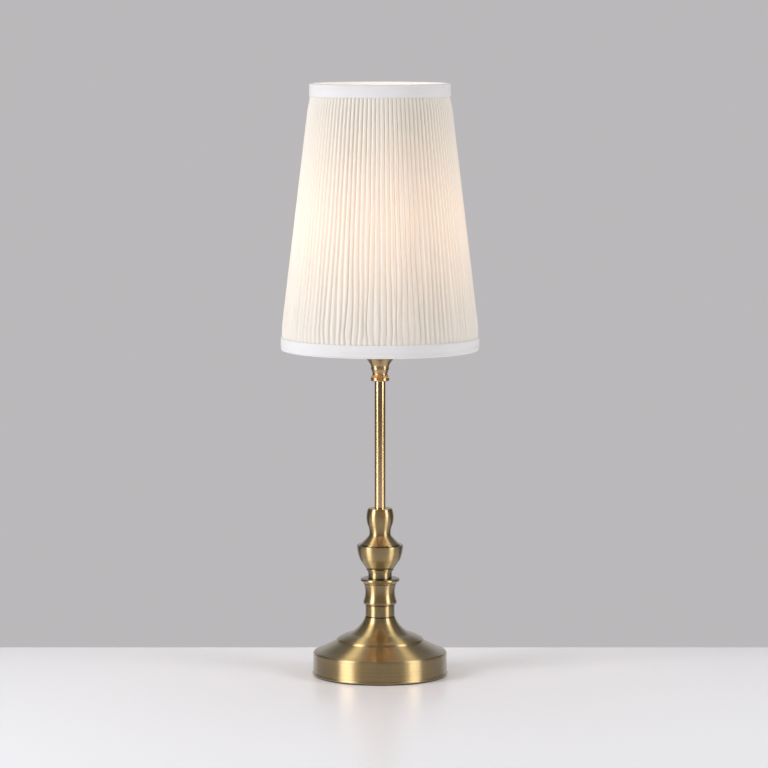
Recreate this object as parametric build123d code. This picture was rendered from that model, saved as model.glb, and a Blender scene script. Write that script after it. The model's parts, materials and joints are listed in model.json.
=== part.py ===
from build123d import *
import os
from math import cos, pi, sin, sqrt

# Candlestick lamp: a turned brass column on a weighted foot, with a small screw lamp holder
# and a tall pleated cloth shade.  Millimetres, +Z up, origin on the table under the column.
# Turned outlines are lists of (radius, height above the piece's own seat, bulge), where the
# bulge is the rise of the arc that ends at that point, outwards if positive.

# ---------------------------------------------------------------- fits and small clearances
thread_gap = 0.05            # radial gap of a screwed joint
slide_gap = 0.10             # radial gap of a piece that is threaded over the rod
turn_gap = 0.30              # radial gap of a ring that turns by hand
cloth_gap = 0.10             # glue line between cloth, liner and wire
seat_gap = 0.20              # gap under a sprung contact

# ---------------------------------------------------------------- foot
felt_thickness = 1.2
felt_inset = 1.0             # felt edge, inside the foot's edge
cover_thickness = 1.2
cover_gap = 0.2              # radial gap of the bottom cover in the rim

shell_wall = 1.2
foot_radius = 61.2           # rim at the felt
rim_height = 18.4
rim_lean = 0.4               # rim narrows by this towards its upper edge
rim_bead = 0.5               # rolled bead at the foot of the rim
rim_bead_height = 2.2
corner_width = 1.9           # rounded corner over the rim
corner_rise = 2.5
corner_bulge = 0.75
ledge_width = 4.7            # nearly flat ledge inside the corner
ledge_rise = 2.0
slope_width = 14.4           # straight slope
slope_rise = 7.3
step_lean = 1.4              # rounded side of the step
step_rise = 2.6
step_bulge = 0.5
crown_width = 10.8           # top of the step, up to the flare
crown_rise = 4.4
crown_bulge = 0.5
flare_rise = 15.5
flare_bulge = -2.1
flare_lip = 0.3              # top of the flare, outside the neck sleeve

weight_gap = 0.4             # cast weight to spun shell
weight_ring_width = 9.1      # ring that carries the weight on the cover
weight_boss_wall = 4.0       # boss that reaches the top of the flare
nut_well_radius = 15.0
nut_well_clear = 0.5         # under the end of the rod
inlet_slot_width = 16.0
inlet_slot_lap = 5.0         # slot runs past the weight's ring by this at both ends
inlet_slot_clear = 1.4       # slot over the barbs of the cord's bush

cover_screw_count = 3
cover_screw_radius = 1.5
cover_screw_head_radius = 2.8
cover_screw_head_height = 1.0
cover_screw_length = 8.0
cover_screw_turn = 30.0      # degrees from +X to the first screw

# ---------------------------------------------------------------- threaded rod and its nut
rod_radius = 5.0
rod_bore = 3.6
rod_below_nut = 1.5          # end of the rod under the nut
nut_across_flats = 14.0
nut_height = 4.5
lock_washer_radius = 9.0
lock_washer_thickness = 1.0
washer_radius = 12.0
washer_thickness = 1.5
rod_into_cap = 20.0          # how far the rod screws into the vase cap

# ---------------------------------------------------------------- cord inlet and terminals
inlet_bore = 3.2
bush_radius = 4.9
bush_flange_radius = 6.6
bush_flange_thickness = 1.6
bush_barb_radius = 5.6
bush_barb_thickness = 1.2
bush_grip = 0.6              # play between flange and barbs, beyond the wall
bush_tail = 6.0              # length inside the rim's wall

block_width = 20.0
block_depth = 16.0
block_height = 10.5
block_clear = 2.1            # room between the block and the bottom cover
block_from_well = 7.0        # wall of the weight between nut well and block
tunnel_radius = 1.6
tunnel_spacing = 10.0
tunnel_rise = 3.5            # wire tunnels, above the block's lower face
clamp_screw_radius = 1.5
clamp_screw_spacing = 8.0
fixing_screw_radius = 1.5
fixing_screw_head_radius = 2.4
fixing_screw_head_height = 1.4
fixing_screw_reach = 8.0     # into the weight

lead_radius = 1.0
lead_spacing = 3.0           # between the two leads in the tube
lead_bend = 6.0
lead_wide_bend = 10.0        # bend that leaves the terminal block
lead_insert = 4.0            # length of lead inside a terminal
lead_straight = 1.0          # lead above the tube's end, before it spreads
lead_spread = 3.0            # lead under the core's terminals

# ---------------------------------------------------------------- turned column
neck_radius = 13.3
neck_height = 11.0
seam_depth = 0.35
seam_height = 0.6

drum_height = 19.3
drum_foot_radius = 13.9
drum_ring_radius = 15.2
drum_ring_low = 1.6
drum_ring_high = 3.4
drum_ring_bulge = 0.35
drum_edge_bulge = 0.15
drum_top_radius = 14.9
drum_waist_bulge = -1.45

disc_seat_radius = 15.2
disc_edge_radius = 16.6
disc_cove_height = 1.9       # hollow under the disc's edge
disc_cove_bulge = -0.3
disc_edge_height = 2.8
disc_edge_bulge = 1.4
disc_top_rise = 0.3

collar_radius = 10.9
collar_neck_height = 5.6
collar_bead_height = 3.0
collar_bead_radius = 11.1
collar_bead_bulge = 0.35

bowl_foot_radius = 12.5
bowl_belly_radius = 18.3
bowl_belly_height = 8.3
bowl_belly_bulge = 0.6
bowl_lip_radius = 21.2
bowl_lip_rise = 12.8         # from the belly to the rounded lip
bowl_lip_round = 0.9
bowl_lip_bulge = 0.25
bowl_mouth_radius = 15.0
bowl_floor = 6.0
bowl_hollow_foot = 7.5       # radius of the hollow at its floor

cap_foot_radius = 18.2
cap_foot_height = 0.7
cap_waist_radius = 10.0
cap_cove_rise = 8.1          # from the foot to the waist
cap_cove_bulge = -0.35
cap_neck_rise = 9.4          # from the waist to the knob
cap_neck_bulge = -0.75
knob_radius = 11.3
knob_rise = 14.4
knob_bulge = 1.2
knob_edge = 0.8
knob_edge_bulge = 0.2
cap_spigot_depth = 2.0
cap_spigot_gap = 0.2

# ---------------------------------------------------------------- stem tube
tube_bore = 4.0
tube_visible = 116.3         # from the knob to the ring under the holder
tube_into_cap = 12.0
tube_end_gap = 1.0           # tube's end, under the top of the holder's boss

# ---------------------------------------------------------------- lamp holder
ring_nut_radius = 8.55
ring_nut_height = 4.3
ring_nut_round = 1.2
ring_nut_bulge = 0.35

dome_wall = 1.3
dome_inside = 2.7            # wall at the flare, measured level
dome_foot_radius = 7.7
dome_waist_radius = 6.9
dome_waist_rise = 2.6
dome_waist_bulge = -0.15
dome_step_radius = 8.35
dome_step_rise = 4.0         # from the waist to the step
dome_step_bulge = -0.25
dome_step_height = 3.2
dome_flare_low_radius = 8.7
dome_flare_radius = 12.3
dome_flare_rise = 5.7
dome_flare_bulge = -0.2
dome_lip_radius = 15.2
dome_shoulder_rise = 3.5     # from the flare to the skirt's seat
dome_lip_height = 3.8
dome_boss_extra = 0.8        # threaded boss round the tube, above the step

grub_radius = 1.5
grub_slot_depth = 0.5
grub_slot_width = 0.5

skirt_radius = 14.0
skirt_wall = 1.1
skirt_length = 55.0
skirt_thread_low = 16.0
skirt_thread_count = 14
skirt_thread_pitch = 2.0
skirt_thread_depth = 0.35

core_gap = 0.5               # radial gap of the core in the skirt, over its seat
core_base = 11.0             # above the skirt's lower end
core_length = 33.0
core_floor = 12.0            # thickness under the contacts
core_terminal_offset = 7.0
core_terminal_bore = 1.7
core_terminal_depth = 7.0
core_screw_radius = 1.2

shell_contact_wall = 0.4
shell_contact_length = 16.0
leaf_width = 5.0
leaf_length = 11.0
leaf_thickness = 0.5
leaf_rise = 0.7

# ---------------------------------------------------------------- shade
shade_rest = 20.5            # seat of the shade's ring, above the dome's lip
rest_ring_radius = 19.0
rest_ring_height = 3.0
fitter_radius = 21.5
fitter_thickness = 1.5
lock_ring_radius = 18.6
lock_ring_height = 4.5
lock_grip_count = 24
lock_grip_radius = 0.7
arm_count = 3
arm_radius = 1.3
arm_lap = 0.7                # how far an arm is welded into the fitter ring
arm_turn = 90.0              # degrees from +X to the first arm
frame_wire_radius = 1.1

shade_bottom = 297.6         # above the table
shade_height = 241.5
shade_bottom_radius = 89.2   # pleat ridges under the lower band
shade_top_radius = 63.1      # pleat ridges under the upper band
band_height = 12.2
band_cloth = 0.6
band_round = 1.9
band_round_bulge = 0.5
band_inside = 8.0            # how far a band is folded up inside
pleat_count = 108
pleat_depth = 1.2
cloth_thickness = 0.5
liner_thickness = 0.5

# ---------------------------------------------------------------- lamp bulb
bulb_cap_radius = 6.7
bulb_cap_length = 19.0
bulb_cap_wall = 0.4
bulb_tip_radius = 2.6
bulb_tip_height = 1.2
bulb_glass_height = 3.0      # black insulator between tip and cap
bulb_neck_radius = 8.2
bulb_neck_length = 8.0
bulb_plug_length = 8.0       # housing inside the cap
bulb_shoulder_radius = 16.6
bulb_shoulder_rise = 16.0
bulb_shoulder_bulge = 0.8
bulb_housing_wall = 1.2
bulb_dome_radius = 18.4
bulb_belly_rise = 11.0       # widest place, above the housing
bulb_belly_bulge = 0.3
bulb_taper_rise = 46.2       # from the widest place to the rounded end
bulb_taper_bulge = 2.9
bulb_dome_wall = 1.0
bulb_nose_radius = 4.2       # rounded end of the dome
bulb_nose_rise = 2.4
board_ledge = 1.2            # ledge in the housing's mouth
board_recess = 0.2           # board's face, under the housing's edge
board_thickness = 1.0
led_count = 8
led_circle = 9.0
led_size = 2.8
led_height = 0.8
driver_width = 11.0
driver_thickness = 1.6
driver_length = 17.0

# ---------------------------------------------------------------- radii and lengths that follow
rim_top_radius = foot_radius - rim_lean
ledge_radius = rim_top_radius - corner_width
slope_radius = ledge_radius - ledge_width
step_foot_radius = slope_radius - slope_width
step_edge_radius = step_foot_radius - step_lean
crown_radius = step_edge_radius - crown_width
flare_top_radius = neck_radius + flare_lip
flare_height = rim_height + corner_rise + ledge_rise + slope_rise + step_rise + crown_rise + flare_rise

weight_rim_radius = foot_radius - shell_wall - weight_gap - weight_ring_width
cover_screw_circle = weight_rim_radius + weight_ring_width / 2
nut_well_depth = (washer_thickness + lock_washer_thickness + nut_height
                  + rod_below_nut + nut_well_clear)
block_distance = nut_well_radius + block_from_well + block_depth / 2
core_radius = skirt_radius - skirt_wall - core_gap
shell_contact_bore = bulb_cap_radius + turn_gap

disc_height = disc_cove_height + disc_edge_height + disc_top_rise
collar_height = collar_neck_height + collar_bead_height
bowl_height = bowl_belly_height + bowl_lip_rise + bowl_lip_round
cap_height = cap_foot_height + cap_cove_rise + cap_neck_rise + knob_rise + knob_edge
dome_step_low = dome_waist_rise + dome_step_rise
dome_step_high = dome_step_low + dome_step_height
dome_flare_height = dome_step_high + dome_flare_rise
dome_lip_low = dome_flare_height + dome_shoulder_rise
dome_height = dome_lip_low + dome_lip_height
dome_boss_height = dome_step_high + dome_boss_extra
grub_height = (dome_step_low + dome_step_high) / 2
bulb_housing_length = bulb_neck_length + bulb_shoulder_rise
bulb_dome_length = bulb_belly_rise + bulb_taper_rise + bulb_nose_rise
liner_outside = pleat_depth + cloth_thickness + cloth_gap      # from ridge to liner
liner_inside = liner_outside + liner_thickness

# ---------------------------------------------------------------- heights that follow
felt_top = felt_thickness
cover_top = felt_top + cover_thickness
flare_top = felt_top + flare_height
inlet_height = felt_top + rim_height / 2
block_seat = cover_top + block_clear
tunnel_height = block_seat + tunnel_rise
weight_bottom = block_seat + block_height
well_top = weight_bottom + nut_well_depth
nut_bottom = well_top - washer_thickness - lock_washer_thickness - nut_height
rod_bottom = nut_bottom - rod_below_nut
neck_seat = flare_top
drum_seat = neck_seat + neck_height
disc_seat = drum_seat + drum_height
collar_seat = disc_seat + disc_height
bowl_seat = collar_seat + collar_height
cap_seat = bowl_seat + bowl_height
knob_top = cap_seat + cap_height
ring_nut_seat = knob_top + tube_visible
dome_seat = ring_nut_seat + ring_nut_height
dome_lip_top = dome_seat + dome_height
skirt_seat = dome_seat + dome_lip_low
tube_top = dome_seat + dome_boss_height - tube_end_gap
core_seat = skirt_seat + core_base
contact_seat = core_seat + core_floor
fitter_seat = dome_lip_top + shade_rest
lock_ring_seat = fitter_seat + fitter_thickness
bulb_bottom = contact_seat + leaf_thickness + leaf_rise + seat_gap
bulb_cap_seat = bulb_bottom + bulb_tip_height + bulb_glass_height
housing_seat = bulb_cap_seat + bulb_cap_length
housing_top = housing_seat + bulb_housing_length
board_seat = housing_top - board_recess - board_thickness
shade_top = shade_bottom + shade_height


# ---------------------------------------------------------------- helpers
def outline_face(points):
    """Closed face in the XZ plane through (radius, height[, bulge]) points."""
    edges = []
    for start, end in zip(points, points[1:] + points[:1]):
        a, b = (start[0], start[1]), (end[0], end[1])
        bulge = end[2] if len(end) > 2 else 0
        edges.append(SagittaArc(a, b, -bulge) if bulge else Line(a, b))
    return make_face(Curve() + edges)


def turned(points, seat=0.0):
    """Solid of revolution about the column's axis, moved up to its seat."""
    return Pos(0, 0, seat) * revolve(Plane.XZ * outline_face(points), axis=Axis.Z)


def stacked(radius, runs):
    """Outline points from a radius at height 0 up through (radius, rise, bulge) runs."""
    points = [(radius, 0)]
    for end_radius, rise, bulge in runs:
        points.append((end_radius, points[-1][1] + rise, bulge))
    return points


def ring(inner, outer, height, seat=0.0):
    """Plain ring or washer standing on its seat."""
    return turned([(inner, 0), (outer, 0), (outer, height), (inner, height)], seat)


def disc(radius, height, seat=0.0):
    """Plain disc standing on its seat."""
    return Pos(0, 0, seat) * Cylinder(radius, height, align=(Align.CENTER, Align.CENTER, Align.MIN))


def rod_between(start, end, radius):
    """Round bar from one point to another."""
    a, b = Vector(*start), Vector(*end)
    return extrude(Plane(origin=a, z_dir=b - a) * Circle(radius), amount=(b - a).length)


def around(shape, count, first=0.0):
    """Equal copies of a shape about the column's axis."""
    return [Rot(0, 0, first + 360 * i / count) * shape for i in range(count)]


sides = (-1, 1)              # the two poles, live on -X and neutral on +X


def save(name, *solids):
    """Write one node, whose file holds one or more separate solids."""
    parts = [solid for shape in solids for solid in shape.solids()]
    shape = parts[0] if len(parts) == 1 else Compound(children=parts)
    export_step(shape, "parts/" + name + ".step")


# ---------------------------------------------------------------- foot
def foot_points(with_bead):
    """Outside of the foot from its edge up to the top of the flare, above the felt."""
    runs = [
        (foot_radius, rim_bead_height, rim_bead if with_bead else 0),
        (rim_top_radius, rim_height - rim_bead_height, 0),
        (ledge_radius, corner_rise, corner_bulge),
        (slope_radius, ledge_rise, 0),
        (step_foot_radius, slope_rise, 0),
        (step_edge_radius, step_rise, step_bulge),
        (crown_radius, crown_rise, crown_bulge),
        (flare_top_radius, flare_rise, flare_bulge),
    ]
    return stacked(foot_radius, runs)


def moved_in(points, distance):
    """The same outline at a distance inside, from the bottom plane to a level top."""
    moved = []
    for i, point in enumerate(points):
        before = points[i - 1] if i else (point[0], point[1] - 1)
        after = points[i + 1] if i + 1 < len(points) else (point[0] - 1, point[1])
        n1 = inward_normal(before, point)
        n2 = inward_normal(point, after)
        reach = distance / (1 + n1[0] * n2[0] + n1[1] * n2[1])
        r, z = point[0] + reach * (n1[0] + n2[0]), point[1] + reach * (n1[1] + n2[1])
        moved.append((r, z) + tuple(point[2:]))
    return moved


def inward_normal(a, b):
    """Unit normal on the left of the run from a to b, which is the inside."""
    length = sqrt((b[0] - a[0]) ** 2 + (b[1] - a[1]) ** 2)
    return ((a[1] - b[1]) / length, (b[0] - a[0]) / length)


def foot_inside(distance):
    """Solid that fills the foot, at a distance from its outside."""
    run = moved_in(foot_points(False), distance)
    return turned([(0, 0)] + run + [(0, flare_height - distance)], felt_top)


def inlet_hole(radius, inner, outer):
    """Cylinder along +Y at the cord inlet, from one distance to another."""
    return rod_between((0, inner, inlet_height), (0, outer, inlet_height), radius)


def base_shell():
    outside = turned([(0, 0)] + foot_points(True) + [(0, flare_height)], felt_top)
    inside = foot_inside(shell_wall)
    rod_hole = disc(rod_radius + slide_gap, flare_height + shell_wall, felt_top)
    wall_hole = inlet_hole(bush_radius + slide_gap, weight_rim_radius, foot_radius + bush_flange_thickness)
    return outside - inside - rod_hole - wall_hole


def base_weight():
    body = foot_inside(shell_wall + weight_gap)
    body += disc(rod_radius + weight_boss_wall, flare_top - shell_wall - well_top, well_top)
    body -= disc(foot_radius, cover_thickness, felt_top)
    body -= disc(weight_rim_radius, weight_bottom - cover_top, cover_top)
    body -= disc(nut_well_radius, nut_well_depth, weight_bottom)
    body -= disc(rod_radius + slide_gap, flare_height, well_top)
    slot = Box(
        inlet_slot_width,
        weight_ring_width + 2 * inlet_slot_lap,
        inlet_height + bush_barb_radius + inlet_slot_clear - cover_top,
        align=(Align.CENTER, Align.MIN, Align.MIN))
    body -= Pos(0, weight_rim_radius - inlet_slot_lap, cover_top) * slot
    for hole in around(cover_screw_shank(slide_gap, slide_gap), cover_screw_count, cover_screw_turn):
        body -= hole
    body -= Pos(0, block_distance, weight_bottom) * disc(fixing_screw_radius, fixing_screw_reach)
    return body


def cover_screw_shank(gap, extra):
    """Shank of a cover screw on +X, wider and longer by a gap where it is a hole."""
    shank = disc(cover_screw_radius + gap, cover_screw_length + extra, felt_top)
    return Pos(cover_screw_circle, 0, 0) * shank


def cover_screw(gap=0.0):
    """Countersunk screw on +X, its head flush with the underside of the cover."""
    head = turned([
        (0, 0),
        (cover_screw_head_radius + gap, 0),
        (cover_screw_radius + gap, cover_screw_head_height),
        (0, cover_screw_head_height),
    ], felt_top)
    return Pos(cover_screw_circle, 0, 0) * head + cover_screw_shank(gap, 0)


def base_cover():
    cover = disc(foot_radius - shell_wall - cover_gap, cover_thickness, felt_top)
    for screw in around(cover_screw(slide_gap), cover_screw_count, cover_screw_turn):
        cover -= screw
    return cover


def base_felt():
    return disc(foot_radius - felt_inset, felt_thickness)


def base_rod():
    length = cap_seat + rod_into_cap - rod_bottom
    return ring(rod_bore, rod_radius, length, rod_bottom)


def base_nut():
    hexagon = RegularPolygon(nut_across_flats / 2, 6, major_radius=False)
    nut = extrude(hexagon - Circle(rod_radius + thread_gap), amount=nut_height)
    return Pos(0, 0, nut_bottom) * nut


def base_lock_washer():
    return ring(rod_radius + slide_gap, lock_washer_radius, lock_washer_thickness, nut_bottom + nut_height)


def base_washer():
    seat = well_top - washer_thickness
    return ring(rod_radius + slide_gap, washer_radius, washer_thickness, seat)


# ---------------------------------------------------------------- cord inlet and terminals
def cord_bush():
    """Snap-in bush through the back of the rim."""
    wall_out = foot_radius
    wall_in = rim_top_radius - shell_wall - bush_grip
    bush = inlet_hole(bush_radius, wall_in - bush_tail, wall_out + bush_flange_thickness)
    bush += inlet_hole(bush_flange_radius, wall_out, wall_out + bush_flange_thickness)
    bush += inlet_hole(bush_barb_radius, wall_in - bush_barb_thickness, wall_in)
    bush -= inlet_hole(inlet_bore, 0, wall_out + 2 * bush_flange_thickness)
    return bush


def terminal_block():
    block = Pos(0, block_distance, block_seat) * Box(
        block_width, block_depth, block_height, align=(Align.CENTER, Align.CENTER, Align.MIN))
    near, far = block_distance - block_depth, block_distance + block_depth
    for side in sides:
        x = side * tunnel_spacing / 2
        block -= rod_between((x, near, tunnel_height), (x, far, tunnel_height), tunnel_radius)
    for x, y in clamp_places():
        block -= Pos(x, y, block_seat) * disc(clamp_screw_radius + thread_gap, tunnel_rise)
    for hole in (
        disc(fixing_screw_radius + slide_gap, block_height, block_seat),
        disc(fixing_screw_head_radius + slide_gap, fixing_screw_head_height, block_seat),
    ):
        block -= Pos(0, block_distance, 0) * hole
    return block


def clamp_places():
    """Centres of the four clamp screws, seen from below."""
    x, y = tunnel_spacing / 2, clamp_screw_spacing / 2
    return [(side * x, block_distance + end * y) for side in sides for end in sides]


def clamp_screws():
    """Four screws that hold the wire ends in the terminal block."""
    screw = disc(clamp_screw_radius, tunnel_rise - lead_radius, block_seat)
    return [Pos(x, y, 0) * screw for x, y in clamp_places()]


def block_fixing_screw():
    head = disc(fixing_screw_head_radius, fixing_screw_head_height, block_seat)
    shank = disc(fixing_screw_radius, block_height + fixing_screw_reach, block_seat)
    return Pos(0, block_distance, 0) * (head + shank)


def lead(side):
    """Insulated lead from the terminal block, up the column, to the holder's terminal."""
    x_block, x_tube = side * tunnel_spacing / 2, side * lead_spacing / 2
    x_core = side * core_terminal_offset
    block_face = block_distance - block_depth / 2
    points = [
        (x_block, block_face + lead_insert, tunnel_height),
        (x_block, block_face - lead_insert, tunnel_height),
        (x_tube, 0, tunnel_height),
        (x_tube, 0, tube_top + lead_straight),
        (x_core, 0, core_seat - lead_spread),
        (x_core, 0, core_seat + lead_insert),
    ]
    path = FilletPolyline(*points, radius=[lead_wide_bend, lead_bend, lead_bend, lead_bend])
    return sweep(Plane(origin=path @ 0, z_dir=path % 0) * Circle(lead_radius), path=path)


# ---------------------------------------------------------------- turned column
def column_piece(points, height, seat):
    """Turned piece with the rod's hole through it; the points run up its outside."""
    bore = rod_radius + slide_gap
    return turned([(bore, 0)] + points + [(bore, height)], seat)


def neck_sleeve():
    """Plain sleeve with a fine groove at each end."""
    low, high = seam_height, neck_height - seam_height
    return column_piece([
        (neck_radius - seam_depth, 0),
        (neck_radius - seam_depth, low),
        (neck_radius, low),
        (neck_radius, high),
        (neck_radius - seam_depth, high),
        (neck_radius - seam_depth, neck_height),
    ], neck_height, neck_seat)


def waisted_drum():
    """Waisted drum with a ring at its foot."""
    return column_piece([
        (drum_foot_radius, 0),
        (drum_ring_radius, drum_ring_low, drum_ring_bulge),
        (drum_ring_radius, drum_ring_high, drum_edge_bulge),
        (drum_top_radius, drum_height, drum_waist_bulge),
    ], drum_height, drum_seat)


def ring_disc():
    """Wide thin disc with a round edge."""
    return column_piece(stacked(disc_seat_radius, [
        (disc_edge_radius, disc_cove_height, disc_cove_bulge),
        (disc_edge_radius, disc_edge_height, disc_edge_bulge),
        (collar_radius, disc_top_rise, 0),
    ]), disc_height, disc_seat)


def bead_collar():
    """Short neck with a bead at its top."""
    return column_piece([
        (collar_radius, 0),
        (collar_radius, collar_neck_height - seam_height),
        (collar_bead_radius, collar_neck_height),
        (collar_bead_radius, collar_height, collar_bead_bulge),
    ], collar_height, collar_seat)


def vase_bowl():
    """Hollow bowl, open at the top, whose lip carries the cap."""
    body = column_piece(stacked(bowl_foot_radius, [
        (bowl_belly_radius, bowl_belly_height, 0),
        (bowl_lip_radius, bowl_lip_rise, bowl_belly_bulge),
        (bowl_lip_radius - bowl_lip_round, bowl_lip_round, bowl_lip_bulge),
    ]), bowl_height, bowl_seat)
    hollow = turned([
        (0, bowl_floor),
        (bowl_hollow_foot, bowl_floor),
        (bowl_mouth_radius, bowl_belly_height + bowl_floor),
        (bowl_mouth_radius, bowl_height),
        (0, bowl_height),
    ], bowl_seat)
    return body - hollow


def vase_cap():
    """Shoulder, waist and knob; the rod screws in from below and the tube from above."""
    spigot = bowl_mouth_radius - cap_spigot_gap
    bore = rod_radius + thread_gap
    outside = stacked(cap_foot_radius, [
        (cap_foot_radius, cap_foot_height, 0),
        (cap_waist_radius, cap_cove_rise, cap_cove_bulge),
        (knob_radius, cap_neck_rise, cap_neck_bulge),
        (knob_radius, knob_rise, knob_bulge),
        (knob_radius - knob_edge, knob_edge, knob_edge_bulge),
    ])
    foot = [(bore, -cap_spigot_depth), (spigot, -cap_spigot_depth), (spigot, 0)]
    return turned(foot + outside + [(bore, cap_height)], cap_seat)


def stem_tube():
    seat = knob_top - tube_into_cap
    return ring(tube_bore, rod_radius, tube_top - seat, seat)


# ---------------------------------------------------------------- lamp holder
def ring_nut():
    """Round ring that locks the holder's dome on the tube."""
    edge = ring_nut_radius - ring_nut_round
    bore = rod_radius + thread_gap
    return turned([
        (bore, 0),
        (edge, 0),
        (ring_nut_radius, ring_nut_round, ring_nut_bulge),
        (ring_nut_radius, ring_nut_height - ring_nut_round),
        (edge, ring_nut_height, ring_nut_bulge),
        (bore, ring_nut_height),
    ], ring_nut_seat)


def holder_dome():
    """Bell that carries the holder's skirt in its lip."""
    bore = rod_radius + thread_gap
    recess = skirt_radius + thread_gap
    body = turned([
        (bore, 0),
        (dome_foot_radius, 0),
        (dome_waist_radius, dome_waist_rise, dome_waist_bulge),
        (dome_step_radius, dome_step_low, dome_step_bulge),
        (dome_step_radius, dome_step_high),
        (dome_flare_low_radius, dome_step_high + seam_height),
        (dome_flare_radius, dome_flare_height, dome_flare_bulge),
        (dome_lip_radius, dome_lip_low - seam_height),
        (dome_lip_radius, dome_height),
        (recess, dome_height),
        (recess, dome_lip_low),
        (skirt_radius - skirt_wall - dome_wall, dome_lip_low),
        (dome_flare_radius - dome_inside, dome_flare_height),
        (bore + dome_wall, dome_boss_height),
        (bore, dome_boss_height),
    ], dome_seat)
    z = dome_seat + grub_height
    return body - rod_between((0, rod_radius, z), (0, dome_lip_radius, z), grub_radius + thread_gap)


def grub_screw():
    """Screw at the back of the dome that grips the tube."""
    z = dome_seat + grub_height
    screw = rod_between((0, rod_radius + thread_gap, z), (0, dome_step_radius, z), grub_radius)
    slot = Pos(0, dome_step_radius, z) * Box(2 * grub_radius, 2 * grub_slot_depth, grub_slot_width)
    return screw - slot


def holder_skirt():
    """Threaded sleeve on which the shade's rings run."""
    points = [(skirt_radius - skirt_wall, 0), (skirt_radius, 0)]
    for turn in range(skirt_thread_count):
        z = skirt_thread_low + turn * skirt_thread_pitch
        points += [
            (skirt_radius, z),
            (skirt_radius - skirt_thread_depth, z + skirt_thread_pitch / 4),
            (skirt_radius, z + skirt_thread_pitch / 2),
        ]
    points += [(skirt_radius, skirt_length), (skirt_radius - skirt_wall, skirt_length)]
    return turned(points, skirt_seat)


def holder_core():
    """Moulded insert that holds the contacts, seated in the skirt."""
    pocket = shell_contact_bore + shell_contact_wall + cloth_gap
    core = disc(core_radius, core_length, core_seat)
    core += disc(skirt_radius - skirt_wall, core_floor, core_seat)
    core -= disc(pocket, core_length, contact_seat)
    z = core_seat + core_terminal_depth / 2
    for side in sides:
        x = side * core_terminal_offset
        core -= Pos(x, 0, core_seat) * disc(core_terminal_bore, core_terminal_depth)
        core -= rod_between((x, 0, z), (side * skirt_radius, 0, z), core_screw_radius + thread_gap)
    return core


def holder_terminal_screws():
    """Two screws that hold the leads in the core."""
    z = core_seat + core_terminal_depth / 2
    near = core_terminal_offset + lead_radius
    return [
        rod_between((side * near, 0, z), (side * core_radius, 0, z), core_screw_radius)
        for side in sides
    ]


def shell_contact():
    return ring(shell_contact_bore, shell_contact_bore + shell_contact_wall,
                shell_contact_length, contact_seat + leaf_thickness)


def centre_contact():
    """Sprung leaf under the bulb's tip."""
    leaf = Pos(0, 0, contact_seat) * Box(
        leaf_length, leaf_width, leaf_thickness, align=(Align.CENTER, Align.CENTER, Align.MIN))
    return leaf + disc(bulb_tip_radius, leaf_rise, contact_seat + leaf_thickness)


def shade_rest_ring():
    """Ring screwed on the skirt, under the shade."""
    seat = fitter_seat - rest_ring_height
    return ring(skirt_radius + thread_gap, rest_ring_radius, rest_ring_height, seat)


def shade_lock_ring():
    """Gripped ring that is screwed down on the shade."""
    body = ring(skirt_radius + turn_gap, lock_ring_radius, lock_ring_height, lock_ring_seat)
    groove = Pos(lock_ring_radius, 0, 0) * disc(lock_grip_radius, lock_ring_height, lock_ring_seat)
    for cut in around(groove, lock_grip_count):
        body -= cut
    return body


# ---------------------------------------------------------------- shade
def shade_levels():
    """Heights and ridge radii where the shade's outline bends."""
    low = shade_bottom + band_cloth + cloth_gap
    high = shade_top - band_cloth - cloth_gap
    return [
        (low, shade_bottom_radius),
        (shade_bottom + band_height, shade_bottom_radius),
        (shade_top - band_height, shade_top_radius),
        (high, shade_top_radius),
    ]


def shade_sleeve(inside, outside):
    """Thin sleeve that follows the shade, between two distances inside the ridges."""
    levels = shade_levels()
    outer = [(radius - outside, z) for z, radius in levels]
    inner = [(radius - inside, z) for z, radius in reversed(levels)]
    return turned(outer + inner)


def fluted_ring(ridge, z):
    """Level face with one outward arc for each pleat."""
    valley = ridge - pleat_depth
    step = 2 * pi / pleat_count
    arcs = []
    for i in range(pleat_count):
        a, b = i * step, (i + 1) * step
        middle = (a + b) / 2
        arcs.append(ThreePointArc(
            (valley * cos(a), valley * sin(a)),
            (ridge * cos(middle), ridge * sin(middle)),
            (valley * cos(b), valley * sin(b))))
    return Pos(0, 0, z) * make_face(Curve() + arcs)


def shade_cover():
    """Pleated cloth from one wire ring to the other."""
    fluted = loft([fluted_ring(radius, z) for z, radius in shade_levels()], ruled=True)
    inside = pleat_depth + cloth_thickness
    levels = [(radius - inside, z) for z, radius in shade_levels()]
    top, bottom = levels[-1], levels[0]
    hollow = turned([(0, bottom[1] - 1), (bottom[0], bottom[1] - 1)] + levels
                    + [(top[0], top[1] + 1), (0, top[1] + 1)])
    return fluted - hollow


def shade_liner():
    return shade_sleeve(liner_inside, liner_outside)


def wire_ring_radius(ridge):
    """Centre line of a frame ring that lies inside the liner."""
    return ridge - liner_inside - cloth_gap - frame_wire_radius


def top_wire_ring():
    z = shade_levels()[-1][0] - frame_wire_radius
    return Pos(0, 0, z) * Torus(wire_ring_radius(shade_top_radius), frame_wire_radius)


def bottom_ring_height():
    return shade_levels()[0][0] + frame_wire_radius


def arm(gap=0.0):
    """Arm on +X from the fitter ring to the bottom wire ring, wider by a gap as a hole."""
    start = (fitter_radius - arm_lap, 0, fitter_seat + fitter_thickness / 2)
    end = (wire_ring_radius(shade_bottom_radius), 0, bottom_ring_height())
    return rod_between(start, end, arm_radius + gap)


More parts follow.
